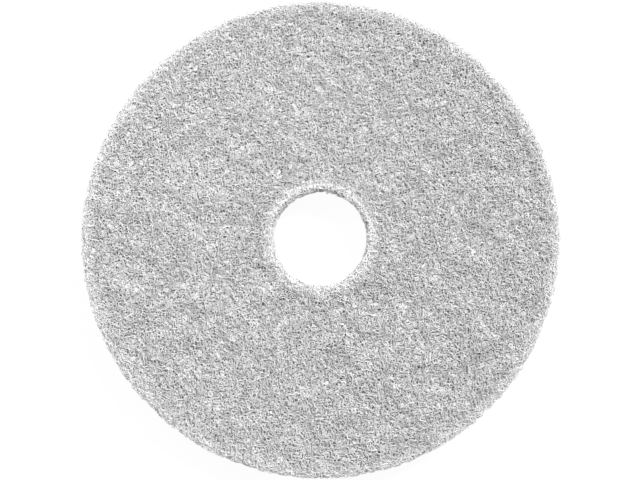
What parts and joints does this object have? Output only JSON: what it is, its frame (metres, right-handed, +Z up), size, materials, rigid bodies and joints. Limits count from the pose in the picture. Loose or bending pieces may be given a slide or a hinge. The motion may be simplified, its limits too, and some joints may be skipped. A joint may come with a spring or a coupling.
{
  "type": "floor polishing pad",
  "caption": "Round floor polishing pad of springy bonded fibre web, with a centre hole for the drive plate's lock and two usable faces.",
  "frame": {"origin": "on the pad's axis, at the underside that lies on the floor", "axes": "+Z up along the axis of the disc and its centre hole; X and Y lie in the underside, with +X to the picture's right and +Y to its top"},
  "size_m": [0.432, 0.432, 0.025],
  "materials": {
    "fibre_web": "open web of light grey crimped fibres bonded with clear resin, dull, the same on both faces and through the thickness"
  },
  "bodies": {
    "root": {"polishing_pad": "fibre_web"}
  },
  "joints": []
}
